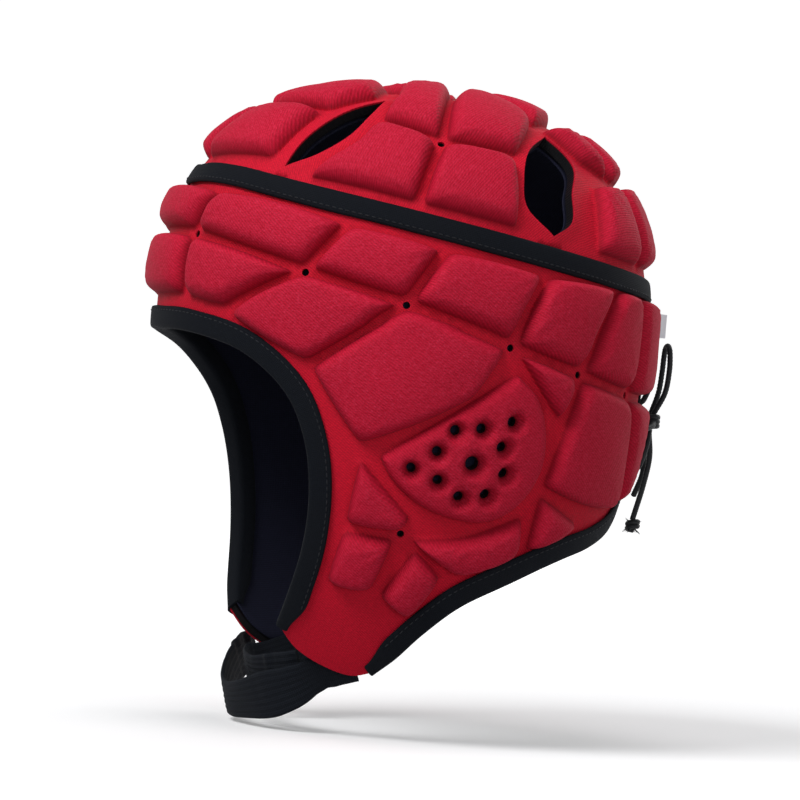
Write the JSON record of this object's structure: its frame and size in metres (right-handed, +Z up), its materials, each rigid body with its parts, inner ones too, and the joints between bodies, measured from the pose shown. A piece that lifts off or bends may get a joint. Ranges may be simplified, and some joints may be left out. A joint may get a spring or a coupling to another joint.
{
  "type": "soft padded headguard",
  "caption": "Soft padded sports headguard with moulded foam pads, vents, ear pads with sound holes, taped edges, rear lace and a two-layer chin strap.",
  "frame": {"origin": "inside top of the crown, on the lining, where the guard sits on the top of the head", "axes": "+Z up; the wearer faces -Y; +X is the wearer's left"},
  "size_m": [0.1918, 0.2392, 0.283],
  "materials": {
    "red_fabric": "matte stretch knit moulded over foam",
    "black_tape": "matte woven tape",
    "black_elastic": "ribbed elastic",
    "navy_lining": "matte knit",
    "black_cord": "braided elastic cord",
    "white_satin": "satin ribbon"
  },
  "bodies": {
    "root": {"crown_panel": "red_fabric", "wrap_panel": "red_fabric", "crown_lining": "navy_lining", "wrap_lining": "navy_lining", "edge_tape": "black_tape", "face_tape": "black_tape", "chin_strap_outer": "black_elastic", "chin_strap_inner": "black_elastic", "lace": "black_cord", "lace_knot": "black_cord", "lace_bow": "black_cord", "lace_bow_lower": "black_cord", "lace_tail_long": "black_cord", "lace_tail_short": "black_cord", "lace_end_knot": "black_cord", "label_tab": "white_satin"}
  },
  "joints": []
}
